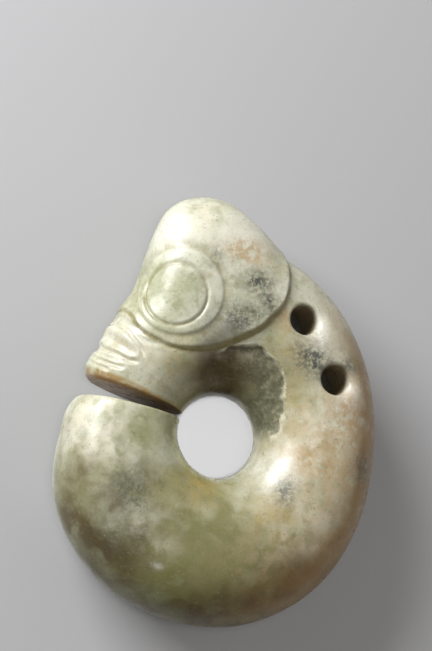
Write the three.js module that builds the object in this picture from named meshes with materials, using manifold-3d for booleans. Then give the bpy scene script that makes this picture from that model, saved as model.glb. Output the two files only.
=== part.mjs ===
// A jade dragon carved as a thick C-shaped ring: one piece of nephrite, drilled through the
// middle, slit between snout and tail, and pierced twice through the nape for a cord.
// It lies on its side. X runs from snout to nape, Y up the figure as it is looked at, Z is up.
import * as THREE from "three";
import { mergeVertices } from "three/addons/utils/BufferGeometryUtils.js";
import Module from "manifold-3d";

const wasm = await Module();
wasm.setup();

// Driving dimensions, in millimetres
const HEIGHT = 140; // from the bottom of the ring to the top of the ears
const THICKNESS = 40; // from face to face, over the ears and the belly
const REST_DEPTH = 0.3; // how far the underside is rubbed flat where it lies
const BORE_RADIUS = 13.6; // the round hole in the middle
const SLIT_MOUTH = 6.2; // width of the sawn slit at the outline
const SLIT_THROAT = 2.5; // width of the same slit at the bore
const SLIT_EDGE = 1.2; // softened edge of the slit's two faces
const CORD_MOUTH_RADIUS = 5.2; // each cord hole where it opens on a face
const CORD_THROAT_RADIUS = 3.6; // and where the two drillings meet inside
const EAR_RELIEF = 1.7; // how far ears and cheeks stand off neck and muzzle
const EAR_NOTCH_HALF_ANGLE = 38; // degrees, sides of the notch between the two ears
const EYE_DISC_RADIUS = 9.4; // the eye's disc, out to the ring cut round it
const EYE_PLATE_RADIUS = 14.8; // the round plate that the eye sits in
const EYE_RING_DEPTH = 0.7;
const EYE_RING_WIDTH = 1.1;
const PLATE_RELIEF = 0.8; // how far the plate stands off the cheek
const PLATE_BEVEL = 0.5; // width of the bevel down its edge
const PLATE_SLOPE = 2.1; // width of the ground that is worn down round the plate
const EAR_SLOPE = 1.3; // width of the worn ground at the foot of ears and cheeks
const EAR_BEVEL = 1; // width of the bevel down their edge
const EAR_UNDERCUT = 0.4; // depth of the line along their foot
const WRINKLE_DEPTH = 0.8; // furrows across the muzzle
const WRINKLE_WIDTH = 1.2;
const SCAR_DEPTH = 1.3; // unpolished hollow of the natural pebble beside the bore
const SCAR_WIDTH = 7;

// Facets
const RING_SIDES = 32;
const BODY_STEP = 9; // degrees between sections of the body
const HEAD_STEP = 4.6; // and of the head, which starts at HEAD_START
const HEAD_START = 408;
const ROUND_SIDES = 24;
const LINE_STEPS = 3; // between two points of a carved line
const SLOPE_STEP = 0.01; // for a skin's slope, as a share of its length and in radians
const LEAN = 0.05; // the most that a section leans off the bore's radius, as a share of a turn

// Directions of the slit as seen from the bore's axis, in degrees
const SLIT_AT_BORE = 153.1;
const SLIT_AT_OUTLINE = 160.2;
const TURN = 360;

// Shape tables: rows of [angle in degrees round the bore, share]. The figure starts at the tail
// beside the slit and runs anticlockwise round the body and over the head to the snout.
// Radius of the body's outline, as shares of the height
const BODY_OUTLINE = [
  [163.8, 0.335], [168.5, 0.349], [180, 0.364], [200, 0.399], [225, 0.422], [250, 0.432],
  [275, 0.436], [300, 0.424], [325, 0.398], [350, 0.381], [365, 0.384], [380, 0.396],
  [395, 0.413], [410, 0.433], [422, 0.449], [431, 0.459], [440, 0.488], [448, 0.53],
  [455, 0.547], [462, 0.533], [469, 0.465], [478, 0.394], [486, 0.372], [495, 0.361],
  [504, 0.347], [512, 0.346], [516.6, 0.331],
];
// Radius of the outline over the ears, brow and cheeks, as shares of the height
const HEAD_OUTLINE = [
  [405, 0.44], [418, 0.456], [424, 0.46], [431, 0.468], [440, 0.513], [448, 0.555],
  [455, 0.565], [462, 0.547], [469, 0.477], [478, 0.402], [486, 0.377], [495, 0.3645],
  [504, 0.351], [516.6, 0.34],
];
// Depth of a section from the middle plane to its face, as shares of half the thickness
const FACE_DEPTH = [
  [163.8, 0.85], [180, 0.9], [205, 0.96], [235, 0.99], [265, 1], [295, 0.99], [335, 0.975], [365, 0.945],
  [390, 0.925], [412, 0.915], [440, 0.911], [458, 0.911], [468, 0.9], [480, 0.86], [495, 0.78],
  [505, 0.71], [516.6, 0.64],
];
// Roundness of a section, as a superellipse's exponent: 2 is an ellipse, more is boxier
const OUTER_ROUNDNESS = [[163.8, 2.3], [300, 2.2], [420, 2.3], [455, 2.6], [490, 2.4], [516.6, 2.2]];
const BORE_ROUNDNESS = [[163.8, 2.6], [230, 3], [300, 2.3], [380, 2.1], [516.6, 2]];
// Share of the ears' relief that is left towards the muzzle
const EAR_FADE = [[440, 1], [462, 1], [478, 0.7], [490, 0.28], [516.6, 0.2]];

// Carved lines in plan from the bore's axis, as shares of the height
const EAR_EDGE = [
  [0.17, 0.475], [0.153, 0.437], [0.156, 0.391], [0.149, 0.344], [0.133, 0.299], [0.104, 0.267],
  [0.066, 0.231], [0.009, 0.205], [-0.057, 0.189], [-0.124, 0.193], [-0.171, 0.213],
  [-0.204, 0.241], [-0.22, 0.276], [-0.25, 0.31],
];
const HEAD_AROUND = [[-0.32, 0.4], [-0.25, 0.62], [0.1, 0.66], [0.24, 0.55]]; // clear outside the head
const WRINKLES = [
  [[-0.235, 0.352], [-0.206, 0.309], [-0.188, 0.281], [-0.16, 0.247]],
  [[-0.243, 0.331], [-0.219, 0.289], [-0.201, 0.261], [-0.178, 0.236], [-0.131, 0.209], [-0.073, 0.213]],
  [[-0.268, 0.3], [-0.236, 0.266], [-0.22, 0.24], [-0.204, 0.216], [-0.192, 0.186], [-0.188, 0.169]],
  [[-0.3, 0.233], [-0.27, 0.193], [-0.231, 0.169], [-0.189, 0.165]],
  [[-0.31, 0.206], [-0.27, 0.178], [-0.242, 0.162], [-0.22, 0.156]],
  [[-0.32, 0.182], [-0.275, 0.161], [-0.258, 0.149], [-0.24, 0.144]],
];
const SCAR_EDGE = [
  [0.112, -0.025], [0.131, 0.008], [0.137, 0.044], [0.133, 0.081], [0.128, 0.112], [0.114, 0.142],
  [0.094, 0.168], [0.066, 0.191], [0.03, 0.195], [-0.009, 0.187],
];
const EYE_CENTRE = [-0.116, 0.324];
const CORD_HOLES = [[0.184, 0.267], [0.256, 0.129]];
const NOTCH_CENTRE = [-0.1, 0.321]; // the notch between the ears is turned about this point
const NOTCH_BOTTOM = 0.246; // its radius there, as a share of the height

const HALF_DEPTH = (THICKNESS + REST_DEPTH) / 2;
const OPEN = EAR_RELIEF; // a cutter stands out of the skin that it cuts by as much as the ears do
const SHARP = 0.1; // size of a cutter at an end where its line runs out
const RUN_OUT = 1 / 3; // share of a line over which it grows to its full size
const NOTCH_REACH = HEIGHT / 8; // depth of the notch's cutter
const radians = THREE.MathUtils.degToRad;
const degrees = THREE.MathUtils.radToDeg;
const planPoint = ([x, y]) => new THREE.Vector2(x * HEIGHT, y * HEIGHT);

// A smooth curve through rows of [angle, value], held level past both ends.
function curveThrough(rows) {
  const rate = (i, j) => (rows[j][1] - rows[i][1]) / (rows[j][0] - rows[i][0]);
  const last = rows.length - 1;
  const slope = (i) => {
    if (i === 0) return rate(0, 1);
    if (i === last) return rate(last - 1, last);
    const before = rows[i][0] - rows[i - 1][0];
    const after = rows[i + 1][0] - rows[i][0];
    return (after * rate(i - 1, i) + before * rate(i, i + 1)) / (before + after);
  };
  return (angle) => {
    const a = THREE.MathUtils.clamp(angle, rows[0][0], rows[last][0]);
    const i = Math.min(rows.findLastIndex((row) => row[0] <= a), last - 1);
    const span = rows[i + 1][0] - rows[i][0];
    const f = (a - rows[i][0]) / span;
    const rest = 1 - f;
    return (1 + 2 * f) * rest * rest * rows[i][1] + f * rest * rest * span * slope(i)
      + (3 - 2 * f) * f * f * rows[i + 1][1] - f * f * rest * span * slope(i + 1);
  };
}

const bodyShare = curveThrough(BODY_OUTLINE);
const headShare = curveThrough(HEAD_OUTLINE);
const faceShare = curveThrough(FACE_DEPTH);
const outerRoundness = curveThrough(OUTER_ROUNDNESS);
const boreRoundness = curveThrough(BORE_ROUNDNESS);
const earFade = curveThrough(EAR_FADE);

// Skins: the outline's radius and the face's depth at an angle, in millimetres. The head's
// skin stands off the body's by the ears' relief.
const bodySkin = {
  radius: (angle) => HEIGHT * bodyShare(angle),
  depth: (angle) => HALF_DEPTH * faceShare(angle),
};
const headSkin = {
  radius: (angle) => HEIGHT * headShare(angle),
  depth: (angle) => HALF_DEPTH * faceShare(angle) + EAR_RELIEF * earFade(angle),
};

// Both ends of the section at share t of the way from tail to snout, in degrees.
function sectionAngles(t) {
  const outlineRadius = bodySkin.radius(SLIT_AT_OUTLINE);
  const atBore = degrees(Math.asin(SLIT_THROAT / 2 / BORE_RADIUS));
  const atOutline = degrees(Math.asin(SLIT_MOUTH / 2 / outlineRadius));
  return {
    inner: THREE.MathUtils.lerp(SLIT_AT_BORE + atBore, SLIT_AT_BORE + TURN - atBore, t),
    outer: THREE.MathUtils.lerp(SLIT_AT_OUTLINE + atOutline, SLIT_AT_OUTLINE + TURN - atOutline, t),
  };
}

function polar(radius, angle) {
  return new THREE.Vector2(radius * Math.cos(radians(angle)), radius * Math.sin(radians(angle)));
}

// The point of a skin at share t of the way from tail to snout and at `turn` round its section
// (0 on the outline, pi on the bore), swelled by `grow` or shrunk by a negative one.
function skinPoint(skin, t, turn, grow = 0) {
  const { inner, outer } = sectionAngles(t);
  const nearBore = polar(BORE_RADIUS - grow, inner);
  const atOutline = polar(skin.radius(outer) + grow, outer);
  const [c, s] = [Math.cos(turn), Math.sin(turn)];
  const power = 2 / (c > 0 ? outerRoundness(outer) : boreRoundness(outer));
  const across = Math.sign(c) * Math.abs(c) ** power;
  const up = Math.sign(s) * Math.abs(s) ** power * (skin.depth(outer) + grow);
  const plan = nearBore.lerp(atOutline, (across + 1) / 2);
  return new THREE.Vector3(plan.x, plan.y, up);
}

// Where a skin faces at t and turn.
function skinNormal(skin, t, turn) {
  const along = skinPoint(skin, t + SLOPE_STEP, turn).sub(skinPoint(skin, t - SLOPE_STEP, turn));
  const round = skinPoint(skin, t, turn + SLOPE_STEP).sub(skinPoint(skin, t, turn - SLOPE_STEP));
  return along.cross(round).normalize();
}

// The t and turn of the skin above a point in plan. A point past the outline counts as on it.
function locate(skin, plan) {
  const guess = ((degrees(Math.atan2(plan.y, plan.x)) - SLIT_AT_OUTLINE + TURN) % TURN) / TURN;
  let [low, high] = [guess - LEAN, guess + LEAN];
  const halvings = 20;
  const section = (t) => {
    const { inner, outer } = sectionAngles(t);
    const start = polar(BORE_RADIUS, inner);
    return { outer, start, span: polar(skin.radius(outer), outer).sub(start) };
  };
  for (let i = 0; i < halvings; i += 1) {
    const middle = (low + high) / 2;
    const { start, span } = section(middle);
    if (span.cross(plan.clone().sub(start)) > 0) low = middle;
    else high = middle;
  }
  const { outer, start, span } = section(low);
  const share = plan.clone().sub(start).dot(span) / span.lengthSq();
  const across = THREE.MathUtils.clamp(2 * share - 1, -1, 1);
  const power = (across > 0 ? outerRoundness(outer) : boreRoundness(outer)) / 2;
  return new THREE.Vector2(low, Math.acos(Math.sign(across) * Math.abs(across) ** power));
}

// The t and turn where a point lands on a skin when it goes straight against `up`.
function landing(skin, point, up) {
  const falls = 12;
  const spot = point.clone();
  for (let i = 0; i < falls; i += 1) {
    const below = locate(skin, new THREE.Vector2(spot.x, spot.y));
    spot.addScaledVector(up, (skinPoint(skin, below.x, below.y).z - spot.z) / 2);
  }
  return locate(skin, new THREE.Vector2(spot.x, spot.y));
}

// Rings of points joined side by side into a closed solid, capped at both ends or joined round.
function joinRings(rings, loops = false) {
  const sides = rings[0].length;
  const points = rings.flat();
  const index = [];
  const at = (i, k) => (i % rings.length) * sides + (k % sides);
  for (let i = 0; i < rings.length - (loops ? 0 : 1); i += 1) {
    for (let k = 0; k < sides; k += 1) {
      index.push(at(i, k), at(i + 1, k + 1), at(i, k + 1), at(i, k), at(i + 1, k), at(i + 1, k + 1));
    }
  }
  if (!loops) {
    const centre = (ring) => ring.reduce((sum, p) => sum.add(p), new THREE.Vector3()).divideScalar(sides);
    points.push(centre(rings[0]), centre(rings.at(-1)));
    for (let k = 0; k < sides; k += 1) {
      index.push(points.length - 2, at(0, k), at(0, k + 1));
      index.push(points.length - 1, at(rings.length - 1, k + 1), at(rings.length - 1, k));
    }
  }
  const geometry = new THREE.BufferGeometry().setFromPoints(points);
  geometry.setIndex(index);
  return solid(geometry);
}

// The sections of a loft: shares of the way along it, with how much each is shrunk so that
// the slit's two faces get a softened edge.
function sectionPlaces() {
  const start = sectionAngles(0).outer;
  const end = sectionAngles(1).outer;
  const edge = SLIT_EDGE / (Math.PI * (BORE_RADIUS + bodySkin.radius(SLIT_AT_OUTLINE)));
  const bodySteps = Math.round((HEAD_START - start) / BODY_STEP);
  const headSteps = Math.round((end - HEAD_START) / HEAD_STEP);
  const neck = (HEAD_START - start) / (end - start);
  const places = [[0, SLIT_EDGE], [edge / 3, SLIT_EDGE / 3], [edge, 0]];
  for (let i = 1; i <= bodySteps; i += 1) places.push([(neck * i) / bodySteps, 0]);
  for (let i = 1; i < headSteps; i += 1) places.push([neck + ((1 - neck) * i) / headSteps, 0]);
  places.push([1 - edge, 0], [1 - edge / 3, SLIT_EDGE / 3], [1, SLIT_EDGE]);
  return places;
}

// A closed loft from tail to snout over a skin.
function loft(skin) {
  const turns = Array.from({ length: RING_SIDES }, (_, k) => (2 * Math.PI * k) / RING_SIDES);
  const ring = ([t, shrink]) => turns.map((turn) => skinPoint(skin, t, turn, -shrink));
  return joinRings(sectionPlaces().map(ring));
}

// A three.js geometry as a solid for joining and cutting.
function solid(geometry) {
  geometry.deleteAttribute("normal");
  geometry.deleteAttribute("uv");
  const merged = mergeVertices(geometry);
  const mesh = new wasm.Mesh({
    numProp: 3,
    vertProperties: new Float32Array(merged.attributes.position.array),
    triVerts: new Uint32Array(merged.index.array),
  });
  mesh.merge();
  return new wasm.Manifold(mesh);
}

// A closed solid turned about the Z axis from its profile of [radius, height].
function turned(profile, centre) {
  const geometry = new THREE.LatheGeometry(profile.map(([r, z]) => new THREE.Vector2(r, z)), ROUND_SIDES);
  geometry.rotateX(Math.PI / 2);
  geometry.translate(centre.x, centre.y, 0);
  return solid(geometry);
}

// The section of a groove: its bottom, and the widths at the skin's height of the slopes on
// either side of it, which run on up to the top of the cutter.
function groove(depth, left, right, top = OPEN) {
  const spread = (depth + top) / depth;
  return [[left * spread, top], [-right * spread, top], [0, -depth]];
}

// A cutter that follows a line of [t, turn] over a skin. Its section is a list of
// [side, height] off the skin; on an open line it shrinks towards the ends named in `fade`.
function cutter(skin, line, section, { loops = false, fade = [] } = {}) {
  const place = line.map((spot) => skinPoint(skin, spot.x, spot.y));
  const rings = line.map((spot, i) => {
    const before = place[loops ? (i + line.length - 1) % line.length : Math.max(i - 1, 0)];
    const after = place[loops ? (i + 1) % line.length : Math.min(i + 1, line.length - 1)];
    const up = skinNormal(skin, spot.x, spot.y);
    const side = after.clone().sub(before).normalize().cross(up).normalize();
    const along = i / (line.length - 1);
    const grown = fade.map((end) => Math.sqrt(Math.abs(along - end) / RUN_OUT));
    const size = Math.max(SHARP, Math.min(1, ...grown));
    return section.map(([across, height]) => place[i].clone()
      .addScaledVector(side, across * size)
      .addScaledVector(up, height * (height < 0 ? size : 1)));
  });
  return joinRings(rings, loops);
}

// Points in plan as a smooth line of [t, turn] on a skin.
function lineOn(skin, rows) {
  const spots = rows.map((row) => locate(skin, planPoint(row)));
  return new THREE.SplineCurve(spots).getPoints(LINE_STEPS * (spots.length - 1));
}

const mirrored = (line) => line.map((spot) => new THREE.Vector2(spot.x, -spot.y));

// A furrow across the muzzle, on both faces and over the bridge between them.
function makeWrinkle(rows) {
  const spots = rows.map((row) => locate(bodySkin, planPoint(row)));
  const over = [...mirrored(spots.slice(1)).reverse(), ...spots];
  const line = new THREE.SplineCurve(over).getPoints(LINE_STEPS * (over.length - 1));
  const half = WRINKLE_WIDTH / 2;
  return cutter(bodySkin, line, groove(WRINKLE_DEPTH, half, half), { fade: [0, 1] });
}

// A circle round the eye on the head's skin, as a line of [t, turn].
function eyeCircle(radius, face) {
  const centre = locate(headSkin, planPoint(EYE_CENTRE));
  const middle = skinPoint(headSkin, centre.x, centre.y);
  const up = skinNormal(headSkin, centre.x, centre.y);
  const right = new THREE.Vector3(0, 1, 0).cross(up).normalize();
  const ahead = up.clone().cross(right);
  const steps = Array.from({ length: ROUND_SIDES }, (_, k) => (2 * Math.PI * k) / ROUND_SIDES);
  const circle = steps.map((turn) => {
    const spot = middle.clone()
      .addScaledVector(right, radius * Math.cos(turn))
      .addScaledVector(ahead, radius * Math.sin(turn));
    return landing(headSkin, spot, up);
  });
  return face > 0 ? circle : mirrored(circle).reverse();
}

// The ring round the eye's disc and the worn ground round its plate, on one face.
function makeEye(face) {
  const half = EYE_RING_WIDTH / 2;
  const ring = cutter(headSkin, eyeCircle(EYE_DISC_RADIUS + half, face),
    groove(EYE_RING_DEPTH, half, half), { loops: true });
  const ground = cutter(headSkin, eyeCircle(EYE_PLATE_RADIUS, face),
    groove(PLATE_RELIEF, PLATE_SLOPE, PLATE_BEVEL), { loops: true });
  return ring.add(ground);
}

// Ears, brow and cheeks of both faces, with the notch between the ears.
function makeEars() {
  const edge = new THREE.SplineCurve(EAR_EDGE.map(planPoint)).getPoints(LINE_STEPS * (EAR_EDGE.length - 1));
  const shape = new THREE.Shape([...edge, ...HEAD_AROUND.map(planPoint)]);
  const around = new THREE.ExtrudeGeometry(shape, { depth: 2 * THICKNESS, bevelEnabled: false });
  around.translate(0, 0, -THICKNESS);
  const bottom = NOTCH_BOTTOM * HEIGHT;
  const half = NOTCH_REACH * Math.tan(radians(EAR_NOTCH_HALF_ANGLE));
  const notch = turned(
    [[bottom, 0], [bottom + NOTCH_REACH, -half], [bottom + NOTCH_REACH, half], [bottom, 0]],
    planPoint(NOTCH_CENTRE),
  );
  return loft(headSkin).intersect(solid(around)).subtract(notch);
}

// The worn ground along the foot of ears and cheeks, which bevels their edge.
function makeEarFoot() {
  const front = lineOn(bodySkin, EAR_EDGE);
  const whole = [...front, ...mirrored(front).reverse().slice(1, -1)];
  const top = EAR_RELIEF + OPEN;
  const bevel = (EAR_BEVEL * (EAR_UNDERCUT + top)) / (EAR_UNDERCUT + EAR_RELIEF);
  const slope = (EAR_SLOPE * (EAR_UNDERCUT + OPEN)) / EAR_UNDERCUT;
  return cutter(bodySkin, whole,
    [[-slope, OPEN], [0, -EAR_UNDERCUT], [bevel, top], [0, top]], { loops: true });
}

// The step and hollow of the unpolished patch beside the bore, on the upper face only.
function makeScar() {
  return cutter(bodySkin, lineOn(bodySkin, SCAR_EDGE),
    [[SCAR_DEPTH / 2, OPEN], [-SCAR_WIDTH, OPEN], [-SCAR_DEPTH / 2, -SCAR_DEPTH]], { fade: [0, 1] });
}

// A cord hole, drilled from both faces so that it narrows to the middle.
function makeCordHole(row) {
  const slope = (CORD_MOUTH_RADIUS - CORD_THROAT_RADIUS) / (THICKNESS / 2);
  const wide = CORD_THROAT_RADIUS + slope * THICKNESS;
  const profile = [
    [0, -THICKNESS], [wide, -THICKNESS], [CORD_THROAT_RADIUS, 0], [wide, THICKNESS], [0, THICKNESS],
  ];
  return turned(profile, planPoint(row));
}

function makeDragon() {
  const carving = [makeEarFoot(), makeEye(1), makeEye(-1), makeScar(), ...WRINKLES.map(makeWrinkle)];
  const holes = CORD_HOLES.map(makeCordHole);
  const floor = new THREE.BoxGeometry(2 * HEIGHT, 2 * HEIGHT, THICKNESS);
  floor.translate(0, 0, REST_DEPTH - HALF_DEPTH - THICKNESS / 2);
  const stone = loft(bodySkin).add(makeEars());
  return [...carving, ...holes, solid(floor)].reduce((left, cut) => left.subtract(cut), stone);
}

// The solid's mesh, with the middle of its box over the origin and its underside at zero.
function meshOf(stone) {
  const { vertProperties, triVerts, numProp } = stone.getMesh();
  const geometry = new THREE.BufferGeometry();
  geometry.setAttribute("position", new THREE.BufferAttribute(new Float32Array(vertProperties), numProp));
  geometry.setIndex(new THREE.BufferAttribute(new Uint32Array(triVerts), 1));
  geometry.computeBoundingBox();
  const box = geometry.boundingBox;
  geometry.translate(-(box.min.x + box.max.x) / 2, -(box.min.y + box.max.y) / 2, -box.min.z);
  geometry.computeVertexNormals();
  return geometry;
}

const jade = new THREE.MeshStandardMaterial({ color: 0xb7bc9c, roughness: 0.3, metalness: 0 });
const dragon = new THREE.Mesh(meshOf(makeDragon()), jade);
dragon.name = "jade_dragon";

const part = new THREE.Group();
part.add(dragon);
export default part;
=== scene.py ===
import bmesh
import bpy
import numpy as np
from mathutils import Matrix, Vector, noise


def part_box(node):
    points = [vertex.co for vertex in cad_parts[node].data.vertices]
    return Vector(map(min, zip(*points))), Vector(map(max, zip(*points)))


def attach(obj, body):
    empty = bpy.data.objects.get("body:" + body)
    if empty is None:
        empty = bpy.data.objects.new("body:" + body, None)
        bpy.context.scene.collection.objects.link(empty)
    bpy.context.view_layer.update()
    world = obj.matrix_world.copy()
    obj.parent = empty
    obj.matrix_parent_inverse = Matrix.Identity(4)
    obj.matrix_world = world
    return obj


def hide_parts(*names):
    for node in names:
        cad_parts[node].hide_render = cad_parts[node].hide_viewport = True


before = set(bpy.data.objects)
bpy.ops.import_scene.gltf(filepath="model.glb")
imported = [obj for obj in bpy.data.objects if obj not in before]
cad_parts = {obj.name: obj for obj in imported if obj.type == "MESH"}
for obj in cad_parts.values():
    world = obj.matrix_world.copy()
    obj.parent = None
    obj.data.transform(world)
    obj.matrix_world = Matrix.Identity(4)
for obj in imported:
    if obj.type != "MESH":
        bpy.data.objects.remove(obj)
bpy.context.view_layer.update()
cad_low, cad_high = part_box("jade_dragon")

# The stone is shaped in millimetres round the bore's axis, with z = 0 in its middle plane.
# Lengths are millimetres and seeds are any number, where nothing else is said.
MM = 0.001
HEIGHT = 140
THICKNESS = 40
REST_DEPTH = 0.3  # how deep the flats are rubbed into the underside
BORE_RADIUS = 13.6
SLIT_MOUTH = 6.2
SLIT_THROAT = 2.5
SLIT_EDGE = 1.0  # radius of the softened edge of the slit's two faces
CORD_MOUTH_RADIUS = 5.0
CORD_THROAT_RADIUS = 3.6
CORD_EDGE = 1.2  # radius of the worn edge of a cord hole
CORD_WEAR = 3.8  # and how much more the cord has worn it on its lower right
CORD_WEAR_TOWARDS = -28  # degrees
CORD_WEAR_DEPTH = 0.6  # how deep that wear is, as a share of its width
EAR_RELIEF = 1.7
EAR_BEVEL = (-0.1, 0.9)  # where the ears rise, from just outside their edge to inside it
EAR_FOOT_WIDTH = 0.6  # the shallow groove round the foot of the ears
EAR_FOOT_DEPTH = 0.2
EAR_NOTCH_HALF_ANGLE = 38  # degrees
EYE_DISC_RADIUS = 9.3
EYE_DOME = 0.12
EYE_REACH = 0.7  # how far off its plane the eye is still carved, as a share of half the depth
EYE_DISC_OFFSET = [-1.2, -1.1]  # the disc sits a little towards the muzzle in its plate
EYE_RING_WIDTH = 1.7
EYE_RING_DEPTH = 0.65
EYE_PLATE_RADIUS = 14.6
PLATE_RELIEF = 0.5
PLATE_RIM = 1  # how far inside the plate's edge the ground starts to fall
PLATE_SLOPE = 3.4
SLIT_AT_BORE = 153.1  # directions from the bore's axis, in degrees
SLIT_AT_OUTLINE = 160.2
TURN = 360

# Rows of [angle round the bore in degrees, value], from the tail anticlockwise to the snout. The
# value is a share of the height in the outlines, of half the depth in the face's depth and of the
# relief in the ears' fade. In the roundnesses it is the power of the section's curve.
BODY_OUTLINE = [
    [163.8, 0.335], [168.5, 0.349], [180, 0.364], [200, 0.399], [225, 0.422], [250, 0.432],
    [275, 0.436], [300, 0.424], [325, 0.398], [350, 0.381], [365, 0.384], [380, 0.396],
    [395, 0.413], [410, 0.433], [422, 0.449], [431, 0.459], [440, 0.488], [448, 0.53],
    [455, 0.547], [462, 0.533], [469, 0.465], [478, 0.394], [486, 0.372], [495, 0.361],
    [504, 0.347], [512, 0.346], [516.6, 0.331],
]
HEAD_OUTLINE = [
    [405, 0.44], [418, 0.456], [424, 0.46], [431, 0.468], [440, 0.513], [448, 0.555],
    [455, 0.565], [462, 0.547], [469, 0.477], [478, 0.402], [486, 0.377], [495, 0.3645],
    [504, 0.351], [516.6, 0.34],
]
FACE_DEPTH = [
    [163.8, 0.85], [180, 0.9], [205, 0.96], [235, 0.99], [265, 1], [295, 0.99], [335, 0.975],
    [365, 0.945], [390, 0.925], [412, 0.915], [440, 0.911], [458, 0.911], [468, 0.9],
    [480, 0.86], [495, 0.78], [505, 0.71], [516.6, 0.64],
]
OUTER_ROUNDNESS = [[163.8, 2.3], [300, 2.2], [420, 2.3], [455, 2.6], [490, 2.4], [516.6, 2.2]]
BORE_ROUNDNESS = [[163.8, 2.6], [230, 3], [300, 2.3], [380, 2.1], [516.6, 2]]
EAR_FADE = [[440, 1], [462, 1], [478, 0.7], [490, 0.28], [516.6, 0.2]]

# Carved lines in plan from the bore's axis, as shares of the height
EAR_EDGE = [
    [0.17, 0.475], [0.153, 0.437], [0.156, 0.391], [0.149, 0.344], [0.133, 0.299], [0.104, 0.267],
    [0.066, 0.231], [0.009, 0.205], [-0.057, 0.189], [-0.124, 0.193], [-0.171, 0.213],
    [-0.204, 0.241], [-0.22, 0.276], [-0.25, 0.31],
]
HEAD_FROM = 0.1  # all of the head's carving is above this share of the height
HEAD_AROUND = [[-0.32, 0.4], [-0.25, 0.62], [0.1, 0.66], [0.24, 0.55]]
# Furrows across the muzzle: the line, its width and its depth in millimetres
WRINKLES = [
    ([[-0.27, 0.32], [-0.241, 0.279], [-0.219, 0.25], [-0.19, 0.228], [-0.152, 0.207],
      [-0.115, 0.189]], 1.4, 0.75),
    ([[-0.28, 0.31], [-0.25, 0.272], [-0.229, 0.247], [-0.207, 0.227], [-0.18, 0.206],
      [-0.12, 0.188]], 1.3, 0.75),
    ([[-0.29, 0.3], [-0.257, 0.262], [-0.231, 0.237], [-0.216, 0.218], [-0.204, 0.2], [-0.194, 0.182],
      [-0.191, 0.164]], 1.3, 0.95),
    ([[-0.275, 0.24], [-0.252, 0.212], [-0.228, 0.192], [-0.203, 0.178]], 2.6, 0.8),
    ([[-0.3, 0.225], [-0.277, 0.199], [-0.25, 0.18], [-0.224, 0.165], [-0.196, 0.16]], 1.3, 1.0),
    ([[-0.305, 0.212], [-0.284, 0.188], [-0.262, 0.173], [-0.236, 0.159]], 1.0, 0.75),
    ([[-0.315, 0.198], [-0.29, 0.174], [-0.262, 0.158], [-0.229, 0.146]], 1.3, 0.9),
    ([[-0.32, 0.184], [-0.29, 0.158], [-0.262, 0.144]], 1.2, 0.75),
]
WRINKLES_LEFT_OF = -0.08  # shares of the height
WRINKLES_BETWEEN = (0.08, 0.4)
WRINKLE_START = (-0.15, 0.35)  # the share of its line over which a furrow deepens
WRINKLE_END = (0.75, 1.0)  # and over which it runs out
BRIDGE_DIP = 0.7  # the dip in the muzzle's ridge
BRIDGE_DIP_AT = 0.205  # place and half its length, as shares of the height
BRIDGE_DIP_REACH = 0.016
BRIDGE_HALF_WIDTH = 7
BRIDGE_LEFT_OF = -0.2  # a share of the height
SCAR_EDGE = [
    [0.112, -0.025], [0.132, 0.008], [0.14, 0.044], [0.139, 0.081], [0.138, 0.114], [0.13, 0.146],
    [0.114, 0.172], [0.093, 0.19], [0.052, 0.211], [0, 0.199], [-0.03, 0.187],
]
SCAR_EDGE_WAVES = (5.0, 1.6)  # how ragged the edge is: size and height of its waves
SCAR_FLOOR_WAVES = (1.8, 0.16)  # and how rough the floor
SCAR_DEPTH = 1.3
SCAR_WALL = 1.4  # from the edge inwards: where its wall ends,
SCAR_FLOOR = 2  # where its floor starts to rise
SCAR_WIDTH = 7  # and where that meets the skin again
SCAR_ENDS = (0.12, 0.85)  # the shares of the edge's length between which it is full
SCAR_STAIN_EDGE = 1.2
SCAR_STAIN = 13
SCAR_LIP = 0.1
SCAR_LIP_AT = 0.2
SCAR_LIP_WIDTH = 1.4
POLISH_WAVES = [[14, 0.14, 3.0], [3.5, 0.035, 8.0]]  # size, height and seed
EYE_CENTRE = [-0.116, 0.324]
CORD_HOLES = [[0.184, 0.267], [0.256, 0.129]]
NOTCH_CENTRE = [-0.1, 0.321]
NOTCH_BOTTOM = 0.246
NOTCH_ROUNDING = 0.5

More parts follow.
